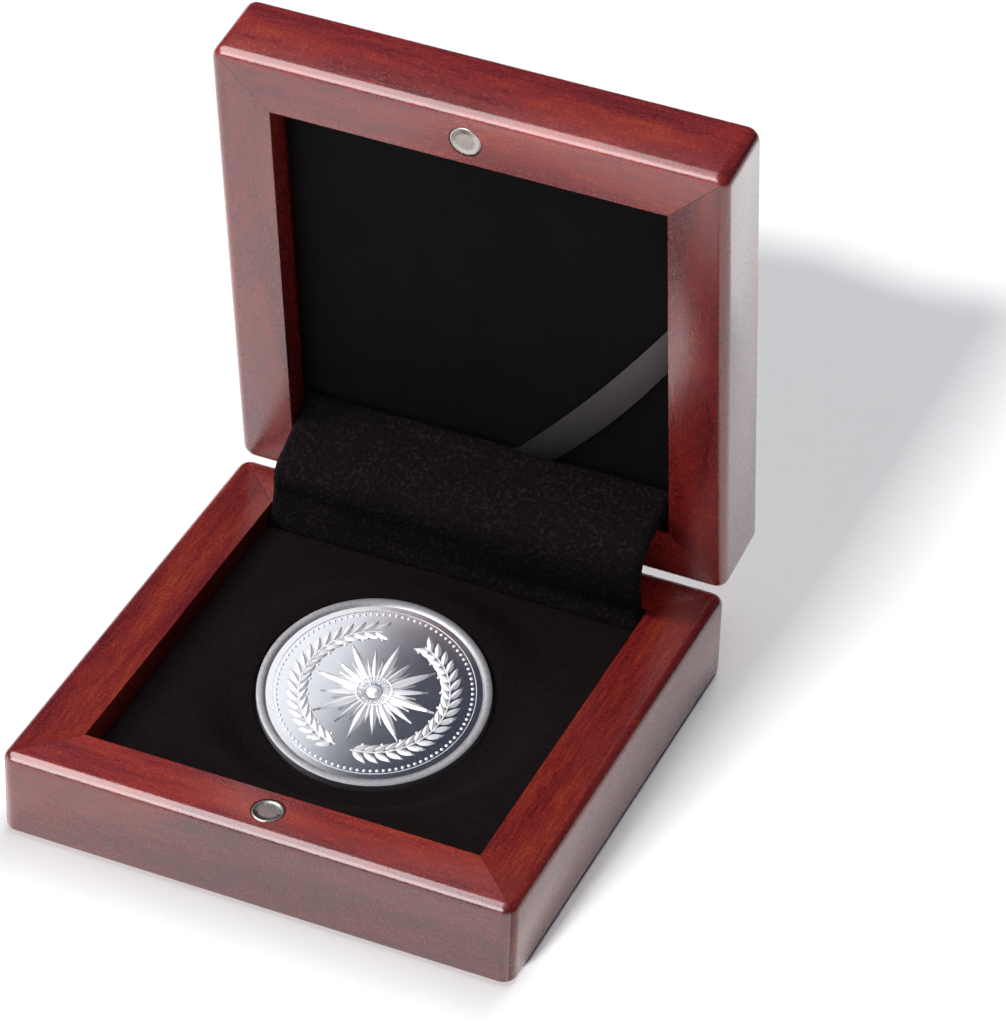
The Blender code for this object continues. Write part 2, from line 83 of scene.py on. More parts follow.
class Look:
    """A material with short calls that add nodes and join them."""

    def __init__(self, name):
        self.material = bpy.data.materials.new(name)
        self.material.use_nodes = True
        self.tree = self.material.node_tree
        self.shader = self.tree.nodes["Principled BSDF"]

    def add(self, kind, settings=None, **inputs):
        """Adds a node. Inputs are named or numbered as i0, i1; a socket is linked, a value is set."""
        made = self.tree.nodes.new(kind)
        for key, value in (settings or {}).items():
            setattr(made, key, value)
        for key, value in inputs.items():
            name = int(key[1:]) if key[0] == "i" and key[1:].isdigit() else key.replace("_", " ")
            self.put(made.inputs[name], value)
        return made

    def put(self, socket, value):
        if isinstance(value, bpy.types.NodeSocket):
            self.tree.links.new(value, socket)
        else:
            socket.default_value = value

    def set(self, **inputs):
        for key, value in inputs.items():
            self.put(self.shader.inputs[key.replace("_", " ")], value)

    def place(self, scale, turn=(0, 0, 0)):
        """The piece's own coordinates, turned and then scaled to features per metre."""
        here = self.add("ShaderNodeTexCoord").outputs["Object"]
        turned = self.add("ShaderNodeMapping", Vector=here, Rotation=turn).outputs["Vector"]
        return self.add("ShaderNodeMapping", Vector=turned, Scale=scale).outputs["Vector"]

    def noise(self, vector, detail=2.0, roughness=0.5, distortion=0.0):
        made = self.add("ShaderNodeTexNoise", Vector=vector, Scale=1.0, Detail=detail)
        self.put(made.inputs["Roughness"], roughness)
        self.put(made.inputs["Distortion"], distortion)
        return made.outputs["Fac"]

    def math(self, operation, first, second=0.0):
        return self.add("ShaderNodeMath", {"operation": operation}, i0=first, i1=second).outputs[0]

    def ramp(self, factor, stops):
        """A colour ramp through (place, colour) stops."""
        made = self.add("ShaderNodeValToRGB", Fac=factor)
        steps = made.color_ramp.elements
        for place, colour in stops[2:]:
            steps.new(place)
        for step, (place, colour) in zip(sorted(steps, key=lambda e: e.position), sorted(stops)):
            step.position = place
            step.color = (*colour, 1.0)
        return made.outputs["Color"]

    def spread(self, factor, low, high, low_to=0.0, high_to=1.0):
        made = self.add("ShaderNodeMapRange", Value=factor)
        made.inputs["From Min"].default_value = low
        made.inputs["From Max"].default_value = high
        made.inputs["To Min"].default_value = low_to
        made.inputs["To Max"].default_value = high_to
        return made.outputs["Result"]

    def mix(self, factor, first, second, blend="MIX"):
        made = self.add("ShaderNodeMix", {"data_type": "RGBA", "blend_type": blend})
        self.put(made.inputs[0], factor)
        self.put(made.inputs[6], first if isinstance(first, bpy.types.NodeSocket) else (*first, 1.0))
        self.put(made.inputs[7], second if isinstance(second, bpy.types.NodeSocket) else (*second, 1.0))
        return made.outputs[2]

    def bump(self, height, distance, strength=1.0):
        made = self.add("ShaderNodeBump", Height=height, Distance=distance, Strength=strength)
        return made.outputs["Normal"]


def wood(name, turn, depth=1.0, side=0.46, toward=(0, 0, 1), gloss=0.8, coat=1.0, side_coat=None):
    """Stained hardwood under satin lacquer. Its grain runs along X once the piece is turned by turn.

    Painted shade: the colour is full on faces that look toward, and side times that on the others,
    so that tops, fronts and sides come out lighter or darker as the light falls. The lacquer varies the
    same way, with coat and side_coat."""
    look = Look(name)
    figure = look.noise(look.place((28, 230, 230), turn), 3.0, 0.55, 0.4)
    fibre = look.noise(look.place((260, 2300, 2300), turn), 3.0, 0.6)
    mottle = look.noise(look.place((2300, 2900, 2900), turn), 2.0, 0.6)
    pores = look.noise(look.place((420, 4600, 4600), turn), 1.0, 0.5)
    tone = look.math("ADD", look.math("MULTIPLY", figure, 0.42), look.math("MULTIPLY", fibre, 0.32))
    tone = look.math("ADD", tone, look.math("MULTIPLY", mottle, 0.26))
    colour = look.ramp(
        tone,
        [
            (0.38, (0.115 * depth, 0.006, 0.007)),
            (0.46, (0.190 * depth, 0.011, 0.011)),
            (0.54, (0.260 * depth, 0.018, 0.012)),
            (0.63, (0.350 * depth, 0.038, 0.014)),
        ],
    )
    dark = look.spread(pores, 0.60, 0.72)
    colour = look.mix(look.math("MULTIPLY", dark, 0.12), colour, (0.050, 0.004, 0.004))
    # Painted shade: faces turned away from toward get side times the colour, lighter or darker as the light
    # falls on them.
    normal = look.add("ShaderNodeTexCoord").outputs["Normal"]
    facing = look.add("ShaderNodeVectorMath", {"operation": "DOT_PRODUCT"}, i0=normal, i1=toward)
    painted_face_shade = look.spread(facing.outputs["Value"], 0.55, 0.95, side, 1.0)
    colour = look.mix(1.0, colour, painted_face_shade, "MULTIPLY")
    peel = look.noise(look.place((3000, 3600, 3600), turn), 2.0, 0.6)
    rough = look.spread(mottle, 0.3, 0.7, 0.23, 0.29)
    skin = look.bump(peel, 0.000022)
    look.set(Base_Color=colour, Roughness=rough, IOR=1.5, Specular_IOR_Level=gloss, Normal=skin)
    if side_coat is not None:
        coat = look.spread(facing.outputs["Value"], 0.55, 0.95, side_coat, coat)
    look.set(Coat_Weight=coat, Coat_Roughness=0.15, Coat_IOR=1.5, Coat_Normal=skin)
    return look.material


def velvet(name, colour, speck, pile, sheen):
    """Black pile fabric: speckled tufts, a rough nap and a faint sheen."""
    look = Look(name)
    tufts = look.noise(look.place((1700, 1700, 1700)), 1.0, 0.6)
    nap = look.noise(look.place((260, 260, 260)), 3.0, 0.55)
    lit_nap = look.spread(nap, 0.30, 0.75, 0.25, 1.0)
    bright = look.math("MULTIPLY", look.spread(tufts, 0.50, 0.74), lit_nap)
    look.set(
        Base_Color=look.mix(bright, colour, speck),
        Roughness=0.9,
        Specular_IOR_Level=0.08,
        Sheen_Weight=sheen,
        Sheen_Roughness=0.35,
        Sheen_Tint=(0.55, 0.50, 0.62, 1.0),
        Normal=look.bump(tufts, pile, 0.9),
    )
    return look.material


def cloth(name, colour, speck, weave):
    """Smooth lining cloth with a fine weave."""
    look = Look(name)
    across = look.place((weave, weave, weave))
    threads = [
        look.add("ShaderNodeTexWave", {"bands_direction": way}, Vector=across, Scale=0.32, Distortion=0.6)
        for way in "XY"
    ]
    woven = look.math("MAXIMUM", *(thread.outputs["Fac"] for thread in threads))
    drift = look.noise(look.place((140, 140, 140)), 3.0, 0.6)
    look.set(
        Base_Color=look.mix(look.spread(drift, 0.35, 0.75), colour, speck),
        Roughness=0.75,
        Specular_IOR_Level=0.10,
        Sheen_Weight=0.010,
        Sheen_Roughness=0.4,
        Normal=look.bump(woven, 0.00002, 0.5),
    )
    return look.material


def metal(name, colour, rough, brush=(900, 9000, 9000), streak=0.35):
    """Metal with faint brushing and uneven polish."""
    look = Look(name)
    lines = look.noise(look.place(brush), 2.0, 0.6)
    smudge = look.noise(look.place((260, 260, 260)), 3.0, 0.6)
    dull = tuple(part * (1 - streak) for part in colour)
    look.set(
        Base_Color=look.mix(look.spread(smudge, 0.35, 0.75), colour, dull),
        Metallic=1.0,
        Roughness=look.spread(lines, 0.3, 0.7, rough * 0.8, rough * 1.25),
        Normal=look.bump(lines, 0.000002),
    )
    return look.material


def plain(name, colour, light, grain, rough=0.85, height=0.00003):
    """Card, felt or foam: a matt surface with soft mottling and a fine tooth."""
    look = Look(name)
    tooth = look.noise(look.place((grain, grain, grain)), 3.0, 0.65)
    look.set(Base_Color=look.mix(look.spread(tooth, 0.35, 0.70), colour, light), Roughness=rough)
    look.set(Normal=look.bump(tooth, height))
    return look.material


quarter = math.pi / 2
# Copies of one wood, one for each set of rails. Their side and toward values paint shade and light: fronts
# and sides come out darker or lighter than tops as the light falls, the lid's mating faces lighter, and the
# lid's right rail has a lit copy of its own. Their depth differs from copy to copy too.
wood_base_x = wood("mahogany_base_long", (0, 0, 0), 0.95, 0.86, gloss=0.95)
wood_base_y = wood("mahogany_base_side", (0, 0, quarter), 0.74, 0.88, gloss=0.25, coat=0.64, side_coat=0.62)
wood_lid_x = wood("mahogany_lid_long", (open_angle, 0, 0), 0.90, 1.60, gloss=0.85, coat=0.8, side_coat=1.0)
wood_lid_left = wood("mahogany_lid_left", (0, quarter, 0), 1.00, 1.02, gloss=1.0)
wood_lid_right = wood("mahogany_lid_right", (0, quarter, 0), 0.95, 0.58, (0.5, -0.95, 0), 0.7, 1.0, 0.75)
panel_base = wood("mahogany_bottom_panel", (0, 0, 0), 0.60, 1.0)
panel_lid = wood("mahogany_top_panel", (open_angle, 0, 0), 0.60, 1.0)
felt_black = plain("black_felt", (0.006, 0.006, 0.007), (0.020, 0.020, 0.022), 2200)
foam_grey = plain("grey_foam", (0.07, 0.07, 0.07), (0.13, 0.13, 0.13), 3000, height=0.00006)
card_grey = plain("liner_card", (0.12, 0.10, 0.08), (0.19, 0.17, 0.14), 1500, height=0.00001)
velour_black = velvet("black_velour", (0.0050, 0.0026, 0.0028), (0.0095, 0.0060, 0.0070), 0.00012, 0.004)
velvet_flap = velvet("black_velvet_flap", (0.0046, 0.0028, 0.0034), (0.022, 0.016, 0.022), 0.00020, 0.010)
lining_black = cloth("black_lining", (0.0024, 0.0012, 0.0012), (0.0044, 0.0025, 0.0025), 2600)
brass_hinge = metal("brass_hinge", (0.62, 0.44, 0.18), 0.30)
nickel_plate = metal("nickel_magnet", (0.62, 0.59, 0.55), 0.30, (2500, 2500, 2500), 0.25)


# The look of the CAD nodes


def smoothing():
    """A modifier's node group: welds the mesh, drops stored normals and smooths all but sharp edges."""
    group = bpy.data.node_groups.new("smooth_by_angle", "GeometryNodeTree")
    group.interface.new_socket("Geometry", in_out="INPUT", socket_type="NodeSocketGeometry")
    group.interface.new_socket("Geometry", in_out="OUTPUT", socket_type="NodeSocketGeometry")
    start = group.nodes.new("NodeGroupInput").outputs[0]
    drop = group.nodes.new("GeometryNodeRemoveAttribute")
    drop.inputs["Name"].default_value = "custom_normal"
    weld = group.nodes.new("GeometryNodeMergeByDistance")
    weld.inputs["Distance"].default_value = 0.000001
    faces = group.nodes.new("GeometryNodeSetShadeSmooth")
    edges = group.nodes.new("GeometryNodeSetShadeSmooth")
    edges.domain = "EDGE"
    angle = group.nodes.new("GeometryNodeInputMeshEdgeAngle")
    compare = group.nodes.new("FunctionNodeCompare")
    compare.operation = "LESS_THAN"
    compare.inputs[1].default_value = math.radians(32)
    finish = group.nodes.new("NodeGroupOutput").inputs[0]
    join = group.links.new
    join(start, drop.inputs[0])
    join(drop.outputs[0], weld.inputs[0])
    join(weld.outputs[0], faces.inputs[0])
    join(faces.outputs[0], edges.inputs[0])
    join(angle.outputs[0], compare.inputs[0])
    join(compare.outputs[0], edges.inputs["Shade Smooth"])
    join(edges.outputs[0], finish)
    return group


smooth_group = smoothing()


def dress(name, material):
    """Gives a CAD node its material and smooth shading."""
    node = nodes[name]
    node.data.materials.clear()
    node.data.materials.append(material)
    node.modifiers.new("smooth", "NODES").node_group = smooth_group
    return node


for side in ("front", "rear"):
    dress("base_" + side + "_rail", wood_base_x)
    dress("lid_" + side + "_rail", wood_lid_x)
for side in ("left", "right"):
    dress("base_" + side + "_rail", wood_base_y)
dress("lid_left_rail", wood_lid_left)
dress("lid_right_rail", wood_lid_right)
dress("base_bottom_panel", panel_base)
dress("lid_top_panel", panel_lid)
dress("lid_liner_board", card_grey)
hinge_pieces = ("base_leaf", "lid_leaf", "pin")
hinge_pieces += ("base_screw_1", "base_screw_2", "lid_screw_1", "lid_screw_2")
for side in ("left", "right"):
    for part in hinge_pieces:
        dress(side + "_hinge_" + part, brass_hinge)


# Mesh building


def piece(name, points, faces, materials, body, slot=None, place=None, sharp=40, stands_for=()):
    """A new visible piece in the row frame, smooth but for its sharp edges."""
    mesh = bpy.data.meshes.new(name)
    if place is not None:
        points = [place @ Vector(point) for point in points]
    mesh.from_pydata([tuple(point) for point in points], [], faces)
    work = bmesh.new()
    work.from_mesh(mesh)
    bmesh.ops.remove_doubles(work, verts=work.verts, dist=0.0000005)
    bmesh.ops.recalc_face_normals(work, faces=work.faces)
    work.to_mesh(mesh)
    work.free()
    mesh.shade_smooth()
    mesh.set_sharp_from_angle(angle=math.radians(sharp))
    made = bpy.data.objects.new(name, mesh)
    bpy.context.scene.collection.objects.link(made)
    for material in materials if isinstance(materials, list) else [materials]:
        mesh.materials.append(material)
    if body is not None:
        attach(made, body)
    if stands_for:
        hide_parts(*stands_for)
    return made


def lathe(profile, steps):
    """Points and faces of a turned solid; profile runs (radius, height) and may touch the axis."""
    points, rings, faces = [], [], []
    for radius, height in profile:
        if radius == 0:
            rings.append([len(points)])
            points.append((0, 0, height))
            continue
        rings.append(list(range(len(points), len(points) + steps)))
        for step in range(steps):
            turn = 2 * math.pi * step / steps
            points.append((radius * math.cos(turn), radius * math.sin(turn), height))
    for low, high in zip(rings, rings[1:]):
        for step in range(steps):
            after = (step + 1) % steps
            quad = [low[step % len(low)], low[after % len(low)]]
            quad += [high[after % len(high)], high[step % len(high)]]
            quad = list(dict.fromkeys(quad))
            if len(quad) > 2:
                faces.append(quad)
    return points, faces


def grid(columns, rows, point):
    """A rectangular net of points and faces; point takes (column, row)."""
    points = [point(column, row) for row in range(rows + 1) for column in range(columns + 1)]
    faces = []
    for row in range(rows):
        for column in range(columns):
            low = row * (columns + 1) + column
            faces.append((low, low + 1, low + columns + 2, low + columns + 1))
    return points, faces


def shell(columns, rows, upper, lower):
    """A closed body between two nets of points that share their size."""
    top, top_faces = grid(columns, rows, upper)
    bottom, bottom_faces = grid(columns, rows, lower)
    base = len(top)
    faces = top_faces + [tuple(base + index for index in reversed(face)) for face in bottom_faces]
    width = columns + 1
    rim = list(range(columns + 1)) + [row * width + columns for row in range(1, rows + 1)]
    rim += [rows * width + column for column in range(columns - 1, -1, -1)]
    rim += [row * width for row in range(rows - 1, 0, -1)]
    for here, after in zip(rim, rim[1:] + rim[:1]):
        faces.append((here, base + here, base + after, after))
    return top + bottom, faces


def ripple(x, y, z, size, depth):
    """A soft, repeatable unevenness."""
    return depth * noise.noise(Vector((x / size, y / size, z / size)))


def smoothstep(value, low, high):
    share = min(1.0, max(0.0, (value - low) / (high - low)))
    return share * share * (3 - 2 * share)


def spline(points, count):
    """Even steps along a Catmull-Rom curve through points."""
    closed = [points[0]] + list(points) + [points[-1]]
    fine = []
    for span in range(1, len(closed) - 2):
        a, b, c, d = (Vector(closed[span + shift]) for shift in (-1, 0, 1, 2))
        for step in range(12):
            t = step / 12
            bend = 2 * a - 5 * b + 4 * c - d
            swing = 3 * b - a - 3 * c + d
            fine.append(0.5 * (2 * b + (c - a) * t + bend * t * t + swing * t**3))
    fine.append(Vector(points[-1]))
    lengths = [0.0]
    for here, after in zip(fine, fine[1:]):
        lengths.append(lengths[-1] + (after - here).length)
    made, span = [], 0
    for step in range(count + 1):
        want = lengths[-1] * step / count
        while span < len(fine) - 2 and lengths[span + 1] < want:
            span += 1
        share = (want - lengths[span]) / max(1e-12, lengths[span + 1] - lengths[span])
        made.append(fine[span].lerp(fine[span + 1], share))
    return made


# Lid lining

lining_low, lining_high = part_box("lid_lining")
lid_back = lid_place.inverted()


def shut_box(name):
    """A CAD node's box with the lid turned shut."""
    corners = [lid_back @ vertex.co for vertex in nodes[name].data.vertices]
    low = Vector([min(corner[axis] for corner in corners) for axis in range(3)])
    high = Vector([max(corner[axis] for corner in corners) for axis in range(3)])
    return low, high


def padded_cloth(low, high, round_radius, crown):
    """A cloth-covered board: crowned, with its edges rolled over. Its front faces down."""
    columns, rows = 72, 64

    def place(column, row, height_of):
        x = low.x + (high.x - low.x) * column / columns
        y = low.y + (high.y - low.y) * row / rows
        edge = min(x - low.x, high.x - x, y - low.y, high.y - y)
        return x, y, height_of(x, y, edge)

    def upper(column, row):
        def height(x, y, edge):
            roll = round_radius - math.sqrt(max(0.0, round_radius**2 - max(0.0, round_radius - edge) ** 2))
            swell = crown * math.sin(math.pi * (x - low.x) / (high.x - low.x))
            swell *= math.sin(math.pi * (y - low.y) / (high.y - low.y))
            return low.z + roll - swell + ripple(x, y, 0, 0.009, 0.00006)

        return place(column, row, height)

    def lower(column, row):
        return place(column, row, lambda x, y, edge: high.z)

    return shell(columns, rows, upper, lower)


low, high = shut_box("lid_lining")
lining = piece(
    "lid_lining_cloth",
    *padded_cloth(low, high, round_radius=0.00042, crown=0.00012),
    lining_black,
    "lid",
    "lining",
    lid_place,
    60,
    ("lid_lining",),
)
lining_front = low.z


# Hinge flap, its side paths as (y, z) in millimetres from the mating plane

flap_reach = 0.0285
flap_half = 0.00045
left_path = (
    (27.4, -4.4), (27.4, -2.2), (28.0, 0.0), (28.6, 2.5), (28.5, 4.9), (29.6, 6.9),
    (31.6, 8.0), (34.0, 9.2), (36.4, 10.1), (38.0, 11.3), (39.0, 12.5), (40.4, 12.8),
)
right_path = (
    (27.4, -4.4), (27.5, -2.2), (27.9, 0.0), (27.2, 2.9), (26.8, 5.8), (26.9, 8.2),
    (28.2, 9.9), (30.3, 11.2), (33.0, 11.9), (35.7, 12.4), (39.0, 12.7), (40.4, 12.8),
)
flap_rows = 60
flap_columns = 90
left_line = spline(left_path, flap_rows)
right_line = spline(right_path, flap_rows)


def flap_point(column, row, offset):
    across = column / flap_columns
    share = smoothstep(across, 0.0, 1.0)
    near_rows = (max(0, row - 1), row, min(flap_rows, row + 1))
    line = [left_line[k].lerp(right_line[k], share) for k in near_rows]
    along = (line[2] - line[0]).normalized()
    outward = Vector((-along.y, along.x))
    x = flap_reach * (2 * across - 1)
    free = math.sin(math.pi * row / flap_rows)
    sway = ripple(x, line[1].x * millimetre, line[1].y * millimetre, 0.010, 0.00045) * free
    tuft = ripple(x, line[1].x * millimetre, line[1].y * millimetre, 0.0007, 0.00009) * free
    here = line[1] * millimetre + outward * (sway + offset + (tuft if offset > 0 else 0))
    return (x, here.x, here.y + mating_z)


def flap_upper(column, row):
    edge = min(column, flap_columns - column) / flap_columns * 2 * flap_reach
    edge = min(1.0, edge / flap_half)
    return flap_point(column, row, flap_half * math.sqrt(1 - (1 - edge) ** 2) if edge < 1 else flap_half)


def flap_lower(column, row):
    return flap_point(column, row, -flap_half * 0.6)


flap = piece(
    "velvet_hinge_flap",
    *shell(flap_columns, flap_rows, flap_upper, flap_lower),
    velvet_flap,
    None,
    "velour",
    None,
    70,
    ("hinge_flap",),
)
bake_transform(flap)


# Velour insert

table_radius = 0.0178
slope_radius = 0.0252
insert_front_depth = 0.0033
insert_back_depth = 0.0021
coin_proud = 0.0006
coin_clearance = 0.00025
well_radius = coin_radius + coin_clearance
velour_lip = 0.00045
velour_roll = 0.0007
velour_skirt = 0.0030
table_start = 0.0170
pad_gap = 0.0001
pad_thickness = 0.0006
cover_low, cover_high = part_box("insert_cover")


def velour_top(x, y):
    """Height of the velour: a plane that rises to the back, and the sloping table under the coin."""
    share = (y + inner_y) / (2 * inner_y)
    plane = mating_z - insert_front_depth + share * (insert_front_depth - insert_back_depth)
    dx, dy = x - coin_centre.x, y - coin_centre.y
    drop = (coin_normal.x * dx + coin_normal.y * dy) / coin_normal.z
    table = coin_centre.z - drop - coin_proud / coin_normal.z
    share = smoothstep(math.hypot(dx, dy), table_radius, slope_radius)
    return table + share * (plane - table)


def insert_velour():
    """Velour in rings from the foot of the well, over its lip and the table, to the rolled outer edge."""
    steps = 200
    side = steps // 4
    corners = (
        (cover_low.x, cover_low.y),
        (cover_high.x, cover_low.y),
        (cover_high.x, cover_high.y),
        (cover_low.x, cover_high.y),
    )
    outline = []
    for corner in range(4):
        ax, ay = corners[corner]
        bx, by = corners[(corner + 1) % 4]
        outline += [Vector((ax + (bx - ax) * k / side, ay + (by - ay) * k / side)) for k in range(side)]
    middle = Vector((coin_centre.x, coin_centre.y))
    spokes = [(point - middle) for point in outline]
    well_foot = -coin_thickness - pad_gap
    rings = []

    def well_ring(radius, depth):
        ring = []
        for spoke in spokes:
            fall = (coin_normal.x * spoke.x + coin_normal.y * spoke.y) / coin_normal.z
            flat = Vector((spoke.x, spoke.y, -fall))
            ring.append(coin_centre + flat.normalized() * radius + coin_normal * depth)
        return ring

    rings.append(well_ring(well_radius, well_foot))
    rings.append(well_ring(well_radius, -coin_proud - velour_lip))
    for turn in (0.35, 0.7, 1.05, 1.4):
        radius = well_radius + velour_lip * (1 - math.cos(turn))
        rings.append(well_ring(radius, -coin_proud - velour_lip * (1 - math.sin(turn))))

    def top_ring(points):
        ring = []
        for point in points:
            fine = ripple(point.x, point.y, 0, 0.0008, 0.00005)
            broad = ripple(point.x, point.y, 1, 0.011, 0.00012)
            ring.append(Vector((point.x, point.y, velour_top(point.x, point.y) + (fine + broad))))
        return ring

    for step in range(10):
        radius = table_start + (slope_radius - table_start) * step / 9
        rings.append(top_ring([middle + spoke.normalized() * radius for spoke in spokes]))
    near = [middle + spoke.normalized() * slope_radius for spoke in spokes]
    for step in range(1, 9):
        share = step / 9
        rings.append(top_ring([a.lerp(b, share) for a, b in zip(near, outline)]))
    for turn in (0.5, 0.9, 1.25, math.pi / 2):
        ring = []
        for point in outline:
            inset = velour_roll * (1 - math.sin(turn))
            x = min(max(point.x, cover_low.x + inset), cover_high.x - inset)
            y = min(max(point.y, cover_low.y + inset), cover_high.y - inset)
            z = velour_top(point.x, point.y) - velour_roll * (1 - math.cos(turn))
            ring.append(Vector((x, y, z)))
        rings.append(ring)
    rings.append([Vector((p.x, p.y, velour_top(p.x, p.y) - velour_skirt)) for p in outline])
    count = len(outline)
    points = [point for ring in rings for point in ring]
    faces = []
    for span in range(len(rings) - 1):
        for step in range(count):
            after = (step + 1) % count
            a, b = span * count, (span + 1) * count
            faces.append((a + step, a + after, b + after, b + step))
    return points, faces


velour = piece(
    "insert_velour", *insert_velour(), velour_black, "base", "velour", None, 70, ("insert_cover",)
)
thick = velour.modifiers.new("cloth", "SOLIDIFY")
thick.thickness = 0.00022
thick.offset = -1.0

pad_top = -coin_thickness - pad_gap
pad_bottom = pad_top - pad_thickness
pad_profile = [
    (0, pad_bottom),
    (coin_radius - 0.0003, pad_bottom),
    (coin_radius - 0.0001, pad_top - pad_thickness / 2),
    (coin_radius - 0.0003, pad_top),
    (0.012, pad_top),
    (0.006, pad_top),
    (0, pad_top),
]
seat = piece(
    "seat_pad_velour",
    *lathe(pad_profile, 96),
    velour_black,
    "base",
    "velour",
    coin_place,
    50,
    ("coin_seat_pad",),
)


# Soft pieces that the insert and the lining hide


def soft_copy(name, new_name, material, body, slot, width):
    """A copy of a soft CAD piece with its edges rolled."""
    mesh = nodes[name].data.copy()
    work = bmesh.new()
    work.from_mesh(mesh)
    bmesh.ops.remove_doubles(work, verts=work.verts, dist=0.000001)
    bmesh.ops.dissolve_limit(work, angle_limit=math.radians(1), verts=work.verts, edges=work.edges)
    points = [vertex.co.copy() for vertex in work.verts]
    faces = [[vertex.index for vertex in face.verts] for face in work.faces]
    work.free()
    made = piece(new_name, points, faces, material, body, slot, None, 40, (name,))
    roll = made.modifiers.new("roll", "BEVEL")
    roll.width = width
    roll.segments = 3
    roll.limit_method = "ANGLE"
    roll.angle_limit = math.radians(50)
    return made


felt_pad = soft_copy("base_felt", "base_felt_pad", felt_black, "base", "felt", 0.00015)
foam_block = soft_copy("insert_block", "insert_foam", foam_grey, "base", "foam", 0.0002)
foam_lid = soft_copy("lid_padding", "lid_foam", foam_grey, "lid", "foam", 0.0004)


# Certificate ribbon, drawn on the shut lid

satin = Look("grey_satin_ribbon")
along_ribbon = (0, math.radians(52.4), 0)
thread = satin.noise(satin.place((60, 5200, 5200), along_ribbon), 2.0, 0.6)
glow = satin.noise(satin.place((70, 420, 420), along_ribbon), 2.0, 0.5)
# Painted shade: the ribbon's colour darkens low down, at its end by the flap, and lightens higher up, by
# the side wall, as the light falls; random streaks ride on it.
spot = satin.add("ShaderNodeTexCoord").outputs["Object"]
height = satin.add("ShaderNodeSeparateXYZ", Vector=spot).outputs["Z"]
rise = satin.spread(height, 0.026, 0.058)
tone = satin.math("ADD", rise, satin.math("MULTIPLY", glow, 0.3))
satin.set(
    Base_Color=satin.mix(satin.spread(tone, 0.1, 1.2), (0.009, 0.007, 0.008), (0.105, 0.090, 0.095)),
    Roughness=0.45,
    Specular_IOR_Level=0.35,
    Sheen_Weight=0.04,
    Normal=satin.bump(thread, 0.000010),
)

ribbon_columns = 6
ribbon_rows = 48
ribbon_turn_rows = 3
ribbon_tuck = 6
ribbon_start = Vector((0.0287, -0.0033))
ribbon_end = Vector((0.0071, 0.02492))
ribbon_width = 0.0046
ribbon_bow = 0.0006
ribbon_half = 0.00007
ribbon_gap = 0.00022
ribbon_lift = 0.00080
ribbon_cup = 0.00014
ribbon_step = 0.0005


def ribbon_point(column, row, offset):
    """The ribbon from the side wall, across the corner, and down behind the lining's lower end."""
    run = (ribbon_end - ribbon_start).normalized()
    side = Vector((run.y, -run.x))
    across = column / ribbon_columns - 0.5
    line = ribbon_start + side * across * ribbon_width
    first = (ribbon_start.x - line.x) / run.x
    last = (ribbon_end.y - line.y) / run.y
    along = min(1.0, row / ribbon_rows)
    spot = line + run * (first + (last - first) * along) + side * ribbon_bow * math.sin(math.pi * along)
    lift = ribbon_gap + ribbon_lift * math.sin(math.pi * along) ** 0.8
    lift -= ribbon_cup * (4 * across * across)
    if row <= ribbon_rows:
        return (spot.x, spot.y, lining_front - lift + offset)
    turn = quarter * min(1.0, (row - ribbon_rows) / ribbon_turn_rows)
    down = max(0.0, row - ribbon_rows - ribbon_turn_rows) * ribbon_step
    y = ribbon_end.y - ribbon_gap + (ribbon_gap - offset) * math.sin(turn)
    z = lining_front + down + (offset - ribbon_gap) * math.cos(turn)
    return (spot.x, y, z)


def ribbon_front(column, row):
    return ribbon_point(column, row, -ribbon_half)


def ribbon_back(column, row):
    return ribbon_point(column, row, ribbon_half)


piece(
    "satin_certificate_ribbon",
    *shell(ribbon_columns, ribbon_rows + ribbon_tuck, ribbon_front, ribbon_back),
    satin.material,
    "lid",
    "ribbon",
    lid_place,
    50,
    ("certificate_ribbon",),
)


# Magnets

magnet_radius = 0.0023
magnet_depth = 0.0020
magnet_bevel = 0.0001
magnet_profile = [
    (0, -magnet_depth),
    (magnet_radius - magnet_bevel, -magnet_depth),
    (magnet_radius, magnet_bevel - magnet_depth),
    (magnet_radius, -0.00018),
    (magnet_radius - 0.00006, -0.00005),
    (magnet_radius - 0.00018, 0.0),
    (magnet_radius - 0.00042, 0.0),
    (magnet_radius - 0.00050, -0.00005),
    (0.0012, -0.00004),
    (0, -0.00003),
]
for body, name in (("base", "base_magnet"), ("lid", "lid_magnet")):
    if body == "base":
        low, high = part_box(name)
        place = Matrix.Translation(((low.x + high.x) / 2, (low.y + high.y) / 2, high.z))
    else:
        low, high = shut_box(name)
        middle = ((low.x + high.x) / 2, (low.y + high.y) / 2, low.z)
        place = lid_place @ Matrix.Translation(middle) @ Matrix.Rotation(math.pi, 4, "X")
    disc = lathe(magnet_profile, 72)
    piece(name + "_disc", *disc, nickel_plate, body, "magnet", place, 55, (name,))


# Coin


def mirror_silver():
    """Polished field, basined: its shading normal leans with the place on the coin."""
    look = Look("silver_mirror_field")
    smear = look.noise(look.place((220, 220, 220)), 3.0, 0.6)
    here = look.add("ShaderNodeTexCoord").outputs["Object"]
    aim = here
    for operation, value in (
        ("SUBTRACT", coin_centre),
        ("MULTIPLY", (2.5, -1.0, 0.0)),
        ("ADD", coin_normal + Vector((0.009, -0.085, 0.0))),
    ):
        step = look.add("ShaderNodeVectorMath", {"operation": operation}, i0=aim, i1=value)
        aim = step.outputs[0]
    kind = {"vector_type": "NORMAL", "convert_from": "OBJECT", "convert_to": "WORLD"}
    look.set(
        Base_Color=(0.76, 0.77, 0.81, 1.0),
        Metallic=1.0,
        Roughness=look.spread(smear, 0.3, 0.7, 0.130, 0.150),
        Normal=look.add("ShaderNodeVectorTransform", kind, Vector=aim).outputs["Vector"],
    )
    return look.material


